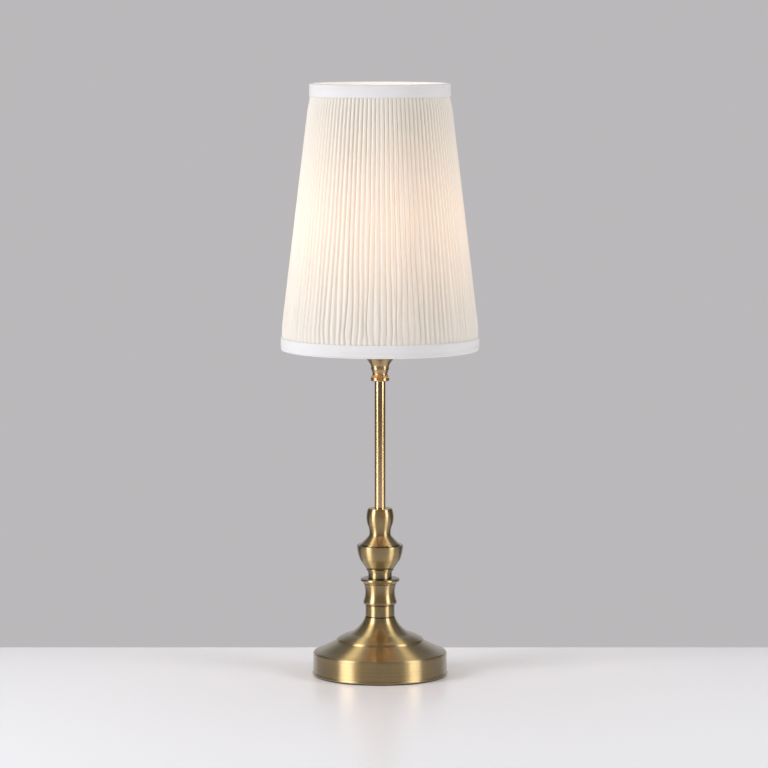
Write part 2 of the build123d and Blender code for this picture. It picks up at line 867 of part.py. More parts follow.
def shade_spider():
    """Fitter ring, three arms and the bottom wire ring, welded together."""
    reach = wire_ring_radius(shade_bottom_radius)
    frame = Pos(0, 0, bottom_ring_height()) * Torus(reach, frame_wire_radius)
    frame += ring(skirt_radius + turn_gap, fitter_radius, fitter_thickness, fitter_seat)
    for bar in around(arm(), arm_count, arm_turn):
        frame += bar
    return frame


def band(ridge, bottom):
    """Cloth band folded over a wire ring, its fold at the bottom of its own outline."""
    outer = ridge + cloth_gap + band_cloth
    inner = wire_ring_radius(ridge) - frame_wire_radius - cloth_gap
    return turned([
        (inner - band_cloth, band_round / 2),
        (inner, 0),
        (outer - band_round, 0),
        (outer, band_round, band_round_bulge),
        (outer, band_height),
        (outer - band_cloth, band_height),
        (outer - band_cloth, band_cloth),
        (inner, band_cloth),
        (inner, band_inside),
        (inner - band_cloth, band_inside),
    ], bottom)


def bottom_band():
    """Lower band, notched where the arms pass its inner fold."""
    body = band(shade_bottom_radius, shade_bottom)
    for notch in around(arm(cloth_gap), arm_count, arm_turn):
        body -= notch
    return body


def top_band():
    flipped = mirror(band(shade_top_radius, 0), about=Plane.XY)
    return Pos(0, 0, shade_top) * flipped


# ---------------------------------------------------------------- lamp bulb
def bulb_contact():
    return disc(bulb_tip_radius, bulb_tip_height, bulb_bottom)


def bulb_insulator():
    return turned([
        (0, 0),
        (bulb_tip_radius, 0),
        (bulb_cap_radius - bulb_cap_wall, bulb_glass_height),
        (0, bulb_glass_height),
    ], bulb_bottom + bulb_tip_height)


def bulb_cap():
    return ring(bulb_cap_radius - bulb_cap_wall, bulb_cap_radius, bulb_cap_length, bulb_cap_seat)


def bulb_housing():
    """Moulded body between the cap and the opal dome."""
    wall = bulb_housing_wall
    plug = bulb_cap_radius - bulb_cap_wall - thread_gap
    ledge = board_seat - housing_seat
    return turned([
        (plug - wall, -bulb_plug_length),
        (plug, -bulb_plug_length),
        (plug, 0),
        (bulb_neck_radius, 0),
        (bulb_neck_radius, bulb_neck_length),
        (bulb_shoulder_radius, bulb_housing_length, -bulb_shoulder_bulge),
        (bulb_shoulder_radius - wall, bulb_housing_length),
        (bulb_shoulder_radius - wall, ledge),
        (bulb_shoulder_radius - wall - board_ledge, ledge),
        (bulb_neck_radius - wall, bulb_neck_length, bulb_shoulder_bulge),
        (bulb_neck_radius - wall, wall),
        (plug - wall, wall),
    ], housing_seat)


def cap_bulge(radius, height):
    """Bulge of the arc that closes a dome as part of a ball centred on the axis."""
    ball = (radius ** 2 + height ** 2) / (2 * height)
    return ball - sqrt(ball ** 2 - (radius ** 2 + height ** 2) / 4)


def dome_solid(wall):
    """Candle shape on the housing, at a wall's thickness inside its outside."""
    nose_radius = bulb_nose_radius - wall / 2
    nose = cap_bulge(nose_radius, bulb_nose_rise)
    outside = stacked(bulb_shoulder_radius - wall, [
        (bulb_dome_radius - wall, bulb_belly_rise, bulb_belly_bulge),
        (nose_radius, bulb_taper_rise - wall, bulb_taper_bulge),
        (0, bulb_nose_rise, nose),
    ])
    return turned([(0, 0)] + outside, housing_top)


def bulb_dome():
    """Opal candle dome, open at the housing."""
    return dome_solid(0) - dome_solid(bulb_dome_wall)


def bulb_board():
    """Round light board in the mouth of the housing."""
    radius = bulb_shoulder_radius - bulb_housing_wall - slide_gap
    return disc(radius, board_thickness, board_seat)


def bulb_leds():
    chip = Pos(led_circle, 0, board_seat + board_thickness) * Box(
        led_size, led_size, led_height, align=(Align.CENTER, Align.CENTER, Align.MIN))
    return around(chip, led_count)


def bulb_driver():
    """Upright driver board inside the housing."""
    return Pos(0, 0, board_seat - driver_length) * Box(
        driver_width, driver_thickness, driver_length, align=(Align.CENTER, Align.CENTER, Align.MIN))


# ---------------------------------------------------------------- write every node
os.makedirs("parts", exist_ok=True)

save("base_felt", base_felt())
save("base_cover", base_cover())
save("cover_screws", *around(cover_screw(), cover_screw_count, cover_screw_turn))
save("base_shell", base_shell())
save("base_weight", base_weight())
save("base_washer", base_washer())
save("base_lock_washer", base_lock_washer())
save("base_nut", base_nut())
save("base_rod", base_rod())
save("cord_bush", cord_bush())
save("terminal_block", terminal_block())
save("clamp_screws", *clamp_screws())
save("block_fixing_screw", block_fixing_screw())
save("live_lead", lead(-1))
save("neutral_lead", lead(1))
save("neck_sleeve", neck_sleeve())
save("waisted_drum", waisted_drum())
save("ring_disc", ring_disc())
save("bead_collar", bead_collar())
save("vase_bowl", vase_bowl())
save("vase_cap", vase_cap())
save("stem_tube", stem_tube())
save("ring_nut", ring_nut())
save("holder_dome", holder_dome())
save("grub_screw", grub_screw())
save("holder_skirt", holder_skirt())
save("holder_core", holder_core())
save("holder_terminal_screws", *holder_terminal_screws())
save("shell_contact", shell_contact())
save("centre_contact", centre_contact())
save("shade_rest_ring", shade_rest_ring())
save("shade_lock_ring", shade_lock_ring())
save("shade_spider", shade_spider())
save("top_wire_ring", top_wire_ring())
save("shade_liner", shade_liner())
save("shade_cover", shade_cover())
save("bottom_band", bottom_band())
save("top_band", top_band())
save("bulb_contact", bulb_contact())
save("bulb_insulator", bulb_insulator())
save("bulb_cap", bulb_cap())
save("bulb_housing", bulb_housing())
save("bulb_board", bulb_board())
save("bulb_leds", *bulb_leds())
save("bulb_driver", bulb_driver())
save("bulb_dome", bulb_dome())
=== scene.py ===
import json
from math import cos, pi, radians, sin

import bmesh
import bpy
from mathutils import Matrix, Vector, noise


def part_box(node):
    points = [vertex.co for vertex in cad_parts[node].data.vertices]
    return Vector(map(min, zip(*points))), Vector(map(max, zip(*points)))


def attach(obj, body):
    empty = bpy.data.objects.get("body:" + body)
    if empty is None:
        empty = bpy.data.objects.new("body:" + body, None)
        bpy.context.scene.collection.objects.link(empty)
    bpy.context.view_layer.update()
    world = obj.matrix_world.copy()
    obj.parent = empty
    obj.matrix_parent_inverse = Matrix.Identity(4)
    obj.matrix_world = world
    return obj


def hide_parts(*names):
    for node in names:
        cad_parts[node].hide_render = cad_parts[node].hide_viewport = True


# Candlestick lamp: finishes of the turned brass column, the pleated cloth shade and its folded
# bands, and the small lamp inside.  Metres, +Z up, the column's axis on Z, the viewer at -Y.

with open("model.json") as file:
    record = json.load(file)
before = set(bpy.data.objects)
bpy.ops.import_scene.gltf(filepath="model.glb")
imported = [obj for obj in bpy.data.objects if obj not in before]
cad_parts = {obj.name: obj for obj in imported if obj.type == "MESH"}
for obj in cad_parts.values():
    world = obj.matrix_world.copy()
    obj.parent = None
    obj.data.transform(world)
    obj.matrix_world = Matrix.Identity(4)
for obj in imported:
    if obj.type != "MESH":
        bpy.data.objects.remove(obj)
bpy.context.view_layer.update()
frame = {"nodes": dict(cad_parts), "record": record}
nodes = frame["nodes"]
mm = 0.001


# ---------------------------------------------------------------- shader building
class Value:
    """An output that varies over a surface; arithmetic on it adds Math nodes."""

    def __init__(self, finish, socket):
        self.finish = finish
        self.socket = socket

    def output(self, name):
        """Another output of the same node."""
        return Value(self.finish, self.socket.node.outputs[name])

    def math(self, operation, *inputs):
        return self.finish.node("ShaderNodeMath", {"operation": operation}, dict(enumerate(inputs)))

    def __add__(self, other):
        return self.math("ADD", self, other)

    def __radd__(self, other):
        return self.math("ADD", other, self)

    def __sub__(self, other):
        return self.math("SUBTRACT", self, other)

    def __rsub__(self, other):
        return self.math("SUBTRACT", other, self)

    def __mul__(self, other):
        return self.math("MULTIPLY", self, other)

    def __rmul__(self, other):
        return self.math("MULTIPLY", other, self)

    def __truediv__(self, other):
        return self.math("DIVIDE", self, other)

    def __rtruediv__(self, other):
        return self.math("DIVIDE", other, self)

    def __pow__(self, power):
        return self.math("POWER", self, power)

    def sin(self):
        return self.math("SINE", self)

    def fract(self):
        return self.math("FRACT", self)

    def size(self):
        return self.math("ABSOLUTE", self)


class Finish:
    """A material and its nodes. Constants go straight on the shader's own sockets."""

    def __init__(self, name, constants):
        self.material = bpy.data.materials.new(name)
        self.material.use_nodes = True
        self.tree = self.material.node_tree
        self.tree.nodes.clear()
        self.shader = self.node("ShaderNodeBsdfPrincipled", inputs=constants)
        self.node("ShaderNodeOutputMaterial", inputs={"Surface": self.shader})

    def node(self, kind, settings=None, inputs=None, output=0):
        """Add a node: its settings first, then the values or links of its sockets."""
        made = self.tree.nodes.new(kind)
        for name, value in (settings or {}).items():
            setattr(made, name, value)
        for name, value in (inputs or {}).items():
            if isinstance(value, Value):
                self.tree.links.new(value.socket, made.inputs[name])
            else:
                made.inputs[name].default_value = value
        return Value(self, made.outputs[output]) if made.outputs else None

    def vary(self, socket, value):
        """Let a value over the surface drive one socket of the shader."""
        self.tree.links.new(value.socket, self.shader.socket.node.inputs[socket])

    def place(self):
        return self.node("ShaderNodeTexCoord", output="Object")

    def xyz(self, vector):
        parts = self.node("ShaderNodeSeparateXYZ", inputs={"Vector": vector})
        return parts.output("X"), parts.output("Y"), parts.output("Z")

    def point(self, x, y, z):
        return self.node("ShaderNodeCombineXYZ", inputs={"X": x, "Y": y, "Z": z})

    def noise(self, vector, scale, detail=2.0, roughness=0.5):
        return self.node(
            "ShaderNodeTexNoise",
            inputs={"Vector": vector, "Scale": scale, "Detail": detail, "Roughness": roughness})

    def span(self, value, low, high, start=0.0, end=1.0, ease="SMOOTHSTEP"):
        """Map low..high to start..end, held beyond both ends."""
        return self.node(
            "ShaderNodeMapRange", {"interpolation_type": ease},
            {"Value": value, "From Min": low, "From Max": high, "To Min": start, "To Max": end})

    def mix(self, share, first, second, blend="MIX"):
        """Blend two colours."""
        return self.node(
            "ShaderNodeMix", {"data_type": "RGBA", "blend_type": blend},
            {0: share, 6: first, 7: second}, output=2)

    def bump(self, height, distance, strength=1.0):
        return self.node(
            "ShaderNodeBump", inputs={"Height": height, "Distance": distance, "Strength": strength})


def rgb(red, green, blue):
    return (red, green, blue, 1.0)


def tint(colour, factor):
    return rgb(*(part * factor for part in colour[:3]))


# ---------------------------------------------------------------- metal finishes
def lathe_lines(finish, scale):
    """Fine rings that run round the axis on every face of a turned piece."""
    x, y, z = finish.xyz(finish.place())
    radius = (x * x + y * y) ** 0.5
    return finish.noise(finish.point(radius, 0.0, z), scale, detail=4.0, roughness=0.65)


bowl_shade_line = 1.3 * mm       # height above the lower edge of the bowl of a dark line painted as the shade in a groove
lathe_depth = 0.0015 * mm
seam_heights = [
    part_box(node)[end].z
    for node, end in (
        ("neck_sleeve", 0), ("neck_sleeve", 1), ("waisted_drum", 1), ("ring_disc", 1),
        ("bead_collar", 1), ("vase_bowl", 1))]
seam_heights.append(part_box("vase_bowl")[0].z + bowl_shade_line)


def painted_seam_shade(finish):
    """Painted shade: 1 in the seams between the column's pieces and on the bowl's painted groove
    line, where shade falls, and 0 elsewhere.
    """
    z = finish.xyz(finish.place())[2]
    dark = 0.0
    for height in seam_heights:
        dark = finish.span((z - height).size(), 0.15 * mm, 0.75 * mm, 1.0, 0.0) + dark
    return dark


def antique_brass(name, colour, roughness, stretch):
    """Turned brass under lacquer, its antique tone varying along the lathe lines, with painted
    shade darkening the seams.
    """
    finish = Finish(name, {
        "Metallic": 1.0,
        "Anisotropic": stretch,
        "Anisotropic Rotation": 0.25,
        "Coat Weight": 0.85,
        "Coat Roughness": 0.18,
        "Coat IOR": 1.62,
    })
    fine = lathe_lines(finish, 2600.0)
    broad = lathe_lines(finish, 420.0)
    cloud = finish.noise(finish.place(), 70.0, detail=4.0)
    tone = finish.span(fine * 0.35 + broad * 0.35 + cloud * 0.3, 0.38, 0.62, ease="LINEAR")
    metal = finish.mix(tone, tint(colour, 0.86), tint(colour, 1.12))
    # painted shade: the seams and the bowl's groove line are darkened nearly to black
    seam_shade = painted_seam_shade(finish) * 0.8
    finish.vary("Base Color", finish.mix(seam_shade, metal, tint(colour, 0.12)))
    finish.vary("Roughness", broad * 0.08 + (roughness - 0.04))
    finish.vary("Normal", finish.bump(fine, lathe_depth))
    return finish.material


def polished_tube(name, colour):
    """Drawn tube, polished, with faint streaks along its length."""
    finish = Finish(name, {"Metallic": 1.0, "Coat Weight": 0.6, "Coat Roughness": 0.05})
    x, y, z = finish.xyz(finish.place())
    streaks = finish.noise(finish.point(x, y, z * 0.02), 1200.0, detail=3.0)
    cloud = finish.noise(finish.point(x, y, z * 0.3), 40.0, detail=2.0)
    finish.vary("Base Color", finish.mix(cloud, tint(colour, 0.95), tint(colour, 1.05)))
    finish.vary("Roughness", streaks * 0.03 + 0.13)
    return finish.material


def plated_steel(name):
    """Zinc plate with faint rolled lines."""
    finish = Finish(name, {"Metallic": 1.0})
    spots = finish.noise(finish.place(), 1500.0, detail=3.0)
    finish.vary("Base Color", finish.mix(spots, rgb(0.50, 0.51, 0.53), rgb(0.66, 0.67, 0.68)))
    finish.vary("Roughness", spots * 0.2 + 0.28)
    finish.vary("Normal", finish.bump(spots, 0.01 * mm))
    return finish.material


def cast_iron(name):
    finish = Finish(name, {"Metallic": 0.9})
    grain = finish.noise(finish.place(), 900.0, detail=5.0, roughness=0.6)
    finish.vary("Base Color", finish.mix(grain, rgb(0.05, 0.05, 0.055), rgb(0.13, 0.13, 0.14)))
    finish.vary("Roughness", grain * 0.2 + 0.6)
    finish.vary("Normal", finish.bump(grain, 0.25 * mm))
    return finish.material


def painted_wire(name, colour):
    finish = Finish(name, {"Coat Weight": 0.3, "Coat Roughness": 0.2})
    spots = finish.noise(finish.place(), 700.0, detail=3.0)
    finish.vary("Base Color", finish.mix(spots, tint(colour, 0.93), colour))
    finish.vary("Roughness", spots * 0.15 + 0.3)
    finish.vary("Normal", finish.bump(spots, 0.02 * mm))
    return finish.material


# ---------------------------------------------------------------- moulded, glazed and felt finishes
def moulded(name, colour, roughness=0.45, grain=2200.0, depth=0.015 * mm):
    finish = Finish(name, {"Specular IOR Level": 0.45})
    pores = finish.noise(finish.place(), grain, detail=2.0)
    cloud = finish.noise(finish.place(), 90.0, detail=2.0)
    finish.vary("Base Color", finish.mix(cloud, tint(colour, 0.94), colour))
    finish.vary("Roughness", pores * 0.15 + (roughness - 0.07))
    finish.vary("Normal", finish.bump(pores, depth))
    return finish.material


def pressed_felt(name):
    finish = Finish(name, {"Roughness": 1.0, "Sheen Weight": 0.4, "Sheen Roughness": 0.6})
    hair = finish.noise(finish.place(), 2600.0, detail=4.0, roughness=0.7)
    finish.vary("Base Color", finish.mix(hair, rgb(0.012, 0.012, 0.013), rgb(0.055, 0.055, 0.058)))
    finish.vary("Normal", finish.bump(hair, 0.15 * mm))
    return finish.material


# ---------------------------------------------------------------- cloth and light
painted_glow_colour = rgb(1.0, 0.57, 0.30)       # colour of the painted glow: the small lamp's light through the cloth, painted as emission
# painted glow on the cloth: emission in place of the lamp's light shining through it; cover_glow
# and band_glow set its strength on the pleats and on the bands
lamp_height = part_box("bulb_dome")[0].z + 0.055
glow_reach = 0.090
cover_glow, band_glow = 0.46, 0.20
low_band_wall, low_band_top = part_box("bottom_band")[1].x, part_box("bottom_band")[1].z
high_band_wall, high_band_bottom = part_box("top_band")[1].x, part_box("top_band")[0].z
wall_slope = (low_band_wall - high_band_wall) / (high_band_bottom - low_band_top)
pleat_count = 108


def painted_lamp_glow(finish, z):
    """Share of the painted glow at a height: the lamp's light that reaches the cloth, painted as
    emission.
    """
    away = (z - lamp_height) / glow_reach
    return 1.0 / (1.0 + away * away) ** 1.5


def weave_height(across, along, pitch):
    """Over-and-under of a plain weave, from two coordinates in metres."""
    turns = 2 * pi / pitch
    return (across * turns).sin() * (along * turns).sin()


def plain_cloth(name, colour):
    """Tightly woven cloth of the folded bands, with light painted as emission on their inner side
    and the lamp's painted glow.
    """
    finish = Finish(name, {
        "Sheen Weight": 0.15,
        "Sheen Roughness": 0.5,
        "Specular IOR Level": 0.25,
        "Emission Strength": 1.0,
    })
    x, y, z = finish.xyz(finish.place())
    round_way = y.math("ARCTAN2", y, x) * 0.08
    weave = weave_height(round_way, z, 0.5 * mm)
    slub = finish.noise(finish.point(round_way, 0.0, z * 6.0), 400.0, detail=3.0)
    finish.vary("Base Color", finish.mix(slub, tint(colour, 0.96), colour))
    finish.vary("Roughness", slub * 0.1 + 0.82)
    finish.vary("Normal", finish.bump(weave + slub, 0.015 * mm))
    # painted light: emission on the bands' inner side, where the lamp and the studio would light
    # it, plus the lamp's painted glow
    outer_wall = low_band_wall - (z - low_band_top) * wall_slope
    inside = finish.span(outer_wall - (x * x + y * y) ** 0.5, 1.5 * mm, 3.0 * mm)
    painted_inside_light = finish.mix(inside, rgb(0, 0, 0), rgb(0.34, 0.30, 0.26))
    glow = painted_lamp_glow(finish, z) * band_glow
    finish.vary("Emission Color", finish.mix(glow, painted_inside_light, painted_glow_colour))
    return finish.material


def pleated_cloth(name, colour, pleats):
    """Thin cloth with the lamp behind it; a painted glow, emission that stands in for the lamp's
    light through the cloth, is stronger in the valleys, where single layers let more light through.
    """
    finish = Finish(name, {
        "Sheen Weight": 0.15,
        "Sheen Roughness": 0.5,
        "Specular IOR Level": 0.25,
        "Emission Strength": 1.0,
    })
    u, v, _ = finish.xyz(finish.node("ShaderNodeTexCoord", output="UV"))
    z = finish.xyz(finish.place())[2]
    valley = ((u * float(pleats)).fract() - 0.5).size() * 2.0
    slub = finish.noise(finish.point(u * 60.0, v, 0.0), 40.0, detail=3.0)
    weave = weave_height(u * 0.6, v * 0.24, 0.5 * mm)
    finish.vary("Base Color", finish.mix(slub, tint(colour, 0.96), colour))
    finish.vary("Roughness", slub * 0.1 + 0.82)
    finish.vary("Normal", finish.bump(weave + slub, 0.015 * mm))
    # painted glow: emission colour from the lamp's height, stronger in the valleys
    valley_glow = finish.span(valley, 0.2, 1.0, 0.55, 1.0)
    glow = painted_lamp_glow(finish, z) * valley_glow * cover_glow
    finish.vary("Emission Color", finish.mix(glow, rgb(0, 0, 0), painted_glow_colour))
    return finish.material


def lining(name):
    """Smooth translucent sheet behind the cloth."""
    finish = Finish(name, {"Specular IOR Level": 0.4})
    cloud = finish.noise(finish.place(), 45.0, detail=3.0)
    finish.vary("Base Color", finish.mix(cloud, rgb(0.80, 0.77, 0.72), rgb(0.86, 0.84, 0.80)))
    finish.vary("Roughness", cloud * 0.1 + 0.45)
    return finish.material


def lit_dome(name):
    """Opal dome of the small lamp, bright round its lower half and dimmer towards its top."""
    finish = Finish(name, {"Roughness": 0.35, "Emission Strength": 19.0})
    z = finish.xyz(finish.place())[2]
    low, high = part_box("bulb_dome")[0].z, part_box("bulb_dome")[1].z
    fade_start = low + 0.55 * (high - low)
    share = finish.span(z, fade_start, high)
    finish.vary("Base Color", finish.mix(share, rgb(0.93, 0.91, 0.86), rgb(0.95, 0.93, 0.89)))
    finish.vary("Emission Color", finish.mix(share, rgb(1.0, 0.48, 0.19), rgb(0.20, 0.15, 0.11)))
    return finish.material


# ---------------------------------------------------------------- finishes by slot
turned = rgb(0.405, 0.285, 0.11)
finishes = {
    "felt": pressed_felt("felt"),
    "zinc_steel": plated_steel("zinc_steel"),
    "spun_brass": antique_brass("spun_brass", turned, 0.42, 1.0),
    "cast_weight": cast_iron("cast_weight"),
    "black_bush": moulded("black_bush", rgb(0.02, 0.02, 0.02)),
    "terminal_plastic": moulded("terminal_plastic", rgb(0.80, 0.80, 0.78)),
    "live_insulation": moulded("live_insulation", rgb(0.22, 0.10, 0.05)),
    "neutral_insulation": moulded("neutral_insulation", rgb(0.05, 0.15, 0.45)),
    "turned_brass": antique_brass("turned_brass", turned, 0.40, 1.0),
    "polished_brass": polished_tube("polished_brass", rgb(0.62, 0.42, 0.20)),
    "holder_brass": antique_brass("holder_brass", rgb(0.42, 0.29, 0.13), 0.34, 0.8),
    "skirt_plastic": moulded("skirt_plastic", rgb(0.82, 0.81, 0.78), 0.35),
    "holder_ceramic": moulded("holder_ceramic", rgb(0.88, 0.87, 0.84), 0.2),
    "contact_brass": antique_brass("contact_brass", rgb(0.72, 0.58, 0.30), 0.3, 0.0),
    "frame_wire": painted_wire("frame_wire", rgb(0.85, 0.84, 0.81)),
    "shade_lining": lining("shade_lining"),
    "shade_cloth": pleated_cloth("shade_cloth", rgb(0.65, 0.63, 0.575), pleat_count),
    "band_cloth": plain_cloth("band_cloth", rgb(0.66, 0.66, 0.66)),
    "bulb_glass": moulded("bulb_glass", rgb(0.03, 0.03, 0.03), 0.2),
    "bulb_nickel": plated_steel("bulb_nickel"),
    "bulb_plastic": moulded("bulb_plastic", rgb(0.92, 0.92, 0.91), 0.3),
    "circuit_board": moulded("circuit_board", rgb(0.05, 0.25, 0.12)),
    "led_yellow": moulded("led_yellow", rgb(0.95, 0.80, 0.25), 0.3),
    "opal_dome": lit_dome("opal_dome"),
}

# ---------------------------------------------------------------- shade cloth
pleat_points = 8             # mesh columns in one pleat
cover_rows = 48
pleat_depth = 1.6 * mm
tucked_depth = 1.2 * mm      # pleat depth under the bands
cloth_thickness = 0.3 * mm
cloth_loft = 0.9 * mm        # how far the cloth stands out between the bands
band_cloth = 0.6 * mm
band_inside = 8.0 * mm
band_crease = 3.6 * mm       # stitched crease above a band's fold
band_depth = 6.0 * mm        # from a band's outside to its turned-in edge
hem_reach = 2 * mm           # how far from the hem the pleats still press through
seam_width = 9.0 * mm
arm_count = 3
cover_low, cover_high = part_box("shade_cover")[0].z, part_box("shade_cover")[1].z
low_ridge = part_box("shade_cover")[1].x
high_ridge = high_band_wall - 0.7 * mm


def finished_piece(name, shape, slot, body, *replaced):
    """Make a bmesh a smooth piece of a body, with the finish of its slot."""
    for face in shape.faces:
        face.smooth = True
    mesh = bpy.data.meshes.new(name)
    shape.to_mesh(mesh)
    shape.free()
    piece = bpy.data.objects.new(name, mesh)
    bpy.context.scene.collection.objects.link(piece)
    piece.data.materials.append(finishes[slot])
    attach(piece, body)
    if replaced:
        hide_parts(*replaced)
    return piece


def thicken(piece, thickness):
    wall = piece.modifiers.new("cloth", "SOLIDIFY")
    wall.thickness = thickness
    wall.offset = -1.0


def ease(value):
    """Smooth step from 0 to 1."""
    value = min(max(value, 0.0), 1.0)
    return value * value * (3 - 2 * value)


def open_share(z):
    """0 under the bands, rising to 1 where the cloth hangs free between them."""
    return ease(min(z - low_band_top, high_band_bottom - z) / (13 * mm))


def ridge_radius(z):
    """Ridges of the pleats: upright under both bands and straight between them."""
    share = min(max((z - low_band_top) / (high_band_bottom - low_band_top), 0.0), 1.0)
    return low_ridge + (high_ridge - low_ridge) * share + cloth_loft * open_share(z)


def pleat_valley(phase):
    """0 on a pleat's ridge and 1 in its valley; the ridges are the wider."""
    return 1.0 - sin(pi * phase) ** 0.8


def wander(pleat, height):
    """Sideways drift of a pleat, in pitches, stronger towards the bottom."""
    share = (height - cover_low) / (cover_high - cover_low)
    drift = noise.noise(Vector((pleat * 0.35, height / 0.055, 3.1)))
    own = noise.noise(Vector((pleat * 1.7, height / 0.09, 9.4)))
    return (0.5 * drift + 0.3 * own) * (0.12 + 1.1 * (1.0 - share) ** 2.2) * open_share(height)


def pleated_cover():
    sheet = bmesh.new()
    sheet.loops.layers.uv.new("cloth")
    bmesh.ops.create_grid(
        sheet, x_segments=pleat_count * pleat_points, y_segments=cover_rows, size=0.5,
        calc_uvs=True)
    for vert in sheet.verts:
        u, v = vert.co.x + 0.5, vert.co.y + 0.5
        z = cover_low + (cover_high - cover_low) * v
        turn = u * pleat_count
        pleat = int(turn + 0.001) % pleat_count
        uneven = 1.0 + 0.22 * noise.noise(Vector((pleat * 0.9, z / 0.07, 5.0)))
        depth = tucked_depth + (pleat_depth - tucked_depth) * open_share(z) * uneven
        radius = ridge_radius(z) - depth * pleat_valley(turn % 1.0)
        angle = 2 * pi * (turn + wander(turn % pleat_count, z)) / pleat_count
        vert.co = Vector((radius * sin(angle), radius * cos(angle), z))
    bmesh.ops.remove_doubles(sheet, verts=sheet.verts, dist=0.01 * mm)
    bmesh.ops.recalc_face_normals(sheet, faces=sheet.faces)
    cover = finished_piece("pleated_cover", sheet, "shade_cloth", "shade", "shade_cover")
    thicken(cover, cloth_thickness)
    return cover


def folded_band(name, node, up):
    """Cloth band folded over a wire ring, with a stitched crease and a hem that follows the pleats.

    up is 1 where the hem is above the fold and -1 where it is below.
    """
    low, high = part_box(node)
    outer = high.x
    fold = low.z if up > 0 else high.z
    hem = high.z - low.z
    inner = outer - band_depth
    outline = [
        (inner, band_inside), (inner, 4.0 * mm), (inner + 0.1 * mm, 1.6 * mm),
        (inner + 0.7 * mm, 0.5 * mm), (inner + 1.8 * mm, 0.05 * mm), (outer - 2.4 * mm, 0.05 * mm),
        (outer - 1.1 * mm, 0.35 * mm), (outer - 0.35 * mm, 1.0 * mm), (outer - 0.02 * mm, 2.0 * mm),
        (outer, band_crease - 0.6 * mm), (outer - 0.30 * mm, band_crease),
        (outer, band_crease + 0.7 * mm), (outer + 0.08 * mm, hem * 0.55), (outer, hem - 1.6 * mm),
        (outer - 0.05 * mm, hem - 0.5 * mm), (outer - 0.35 * mm, hem),
    ]
    shape = bmesh.new()
    shape.loops.layers.uv.new("cloth")
    points = [shape.verts.new((radius, 0.0, fold + up * rise)) for radius, rise in outline]
    line = [shape.edges.new(pair) for pair in zip(points, points[1:])]
    bmesh.ops.spin(
        shape, geom=points + line, cent=(0, 0, 0), axis=(0, 0, 1), angle=2 * pi,
        steps=pleat_count * 4, use_merge=True, use_duplicate=False)
    for vert in shape.verts:
        radius = vert.co.xy.length
        angle = vert.co.xy.angle_signed(Vector((0.0, 1.0)), 0.0)
        rise = up * (vert.co.z - fold)
        if radius > outer - 0.6 * mm and rise > hem - hem_reach:
            phase = (angle / (2 * pi) * pleat_count) % 1.0
            near_hem = ease((rise - hem + hem_reach) / hem_reach)
            radius -= 0.30 * mm * pleat_valley(phase) * near_hem
            rise += near_hem * 0.25 * mm * (noise.noise(Vector((angle * 9.0, 2.0, up))) - 0.4)
        if radius > inner + 1.5 * mm:
            radius += 0.22 * mm * noise.noise(Vector((cos(angle) * 7, sin(angle) * 7, rise / 0.01)))
            radius += ease(1.5 - abs(angle) * outer / seam_width * 2) * 0.5 * mm
        elif rise > 2 * mm and up > 0:
            arm = (angle / (2 * pi) * arm_count + 0.5) % 1.0 - 0.5
            if abs(arm) * 2 * pi * outer / arm_count < 3 * mm:
                rise = 2 * mm
        side = vert.co.xy.normalized() * radius
        vert.co = Vector((side.x, side.y, fold + up * rise))
    bmesh.ops.recalc_face_normals(shape, faces=shape.faces)
    band = finished_piece(name, shape, "band_cloth", "shade", node)
    thicken(band, band_cloth)
    return band


# ---------------------------------------------------------------- turned pieces
turned_nodes = (
    "neck_sleeve", "waisted_drum", "ring_disc", "bead_collar", "vase_bowl", "vase_cap",
    "stem_tube", "ring_nut")
spin_steps = 192
edge_break = 0.18 * mm       # corners a lathe hand takes off with a file
bead_radius = 11.75 * mm
bead_drop = 0.75 * mm        # bead's middle below the top of the collar
bead_thickness = 0.8 * mm


def turned_piece(name, node, slot):
    """Spin a turned piece again from its own outline, with its sharp edges broken."""
    shape = bmesh.new()
    shape.from_mesh(nodes[node].data)
    bmesh.ops.remove_doubles(shape, verts=shape.verts, dist=0.003 * mm)
    for vert in shape.verts:
        if abs(vert.co.y) < 0.004 * mm:
            vert.co.y = 0.0
    bmesh.ops.bisect_plane(
        shape, geom=shape.verts[:] + shape.edges[:] + shape.faces[:], dist=0.002 * mm,
        plane_co=(0, 0, 0), plane_no=(0, 1, 0), use_snap_center=True,
        clear_inner=True, clear_outer=True)
    off_line = [vert for vert in shape.verts if vert.co.x < 0 or abs(vert.co.y) > 0.01 * mm]
    bmesh.ops.delete(shape, geom=off_line, context="VERTS")
    bmesh.ops.delete(shape, geom=shape.faces[:], context="FACES_ONLY")
    bmesh.ops.remove_doubles(shape, verts=shape.verts, dist=0.01 * mm)
    straight = [
        vert for vert in shape.verts
        if len(vert.link_edges) == 2 and vert.calc_edge_angle(0.0) < radians(0.4)]
    bmesh.ops.dissolve_verts(shape, verts=straight)
    for vert in shape.verts:
        vert.co.y = 0.0
    bmesh.ops.spin(
        shape, geom=shape.verts[:] + shape.edges[:], cent=(0, 0, 0), axis=(0, 0, 1),
        angle=2 * pi, steps=spin_steps, use_merge=True, use_duplicate=False)
    bmesh.ops.remove_doubles(shape, verts=shape.verts, dist=0.002 * mm)
    bmesh.ops.recalc_face_normals(shape, faces=shape.faces)
    sharp = [
        edge for edge in shape.edges
        if len(edge.link_faces) == 2 and edge.calc_face_angle(0.0) > radians(24)]
    bmesh.ops.bevel(
        shape, geom=sharp, offset=edge_break, affect="EDGES", segments=2, profile=0.5,
        clamp_overlap=True, material=-1)
    piece = finished_piece(name, shape, slot, "stand", node)
    even = piece.modifiers.new("even_shading", "WEIGHTED_NORMAL")
    even.keep_sharp = False
    return piece


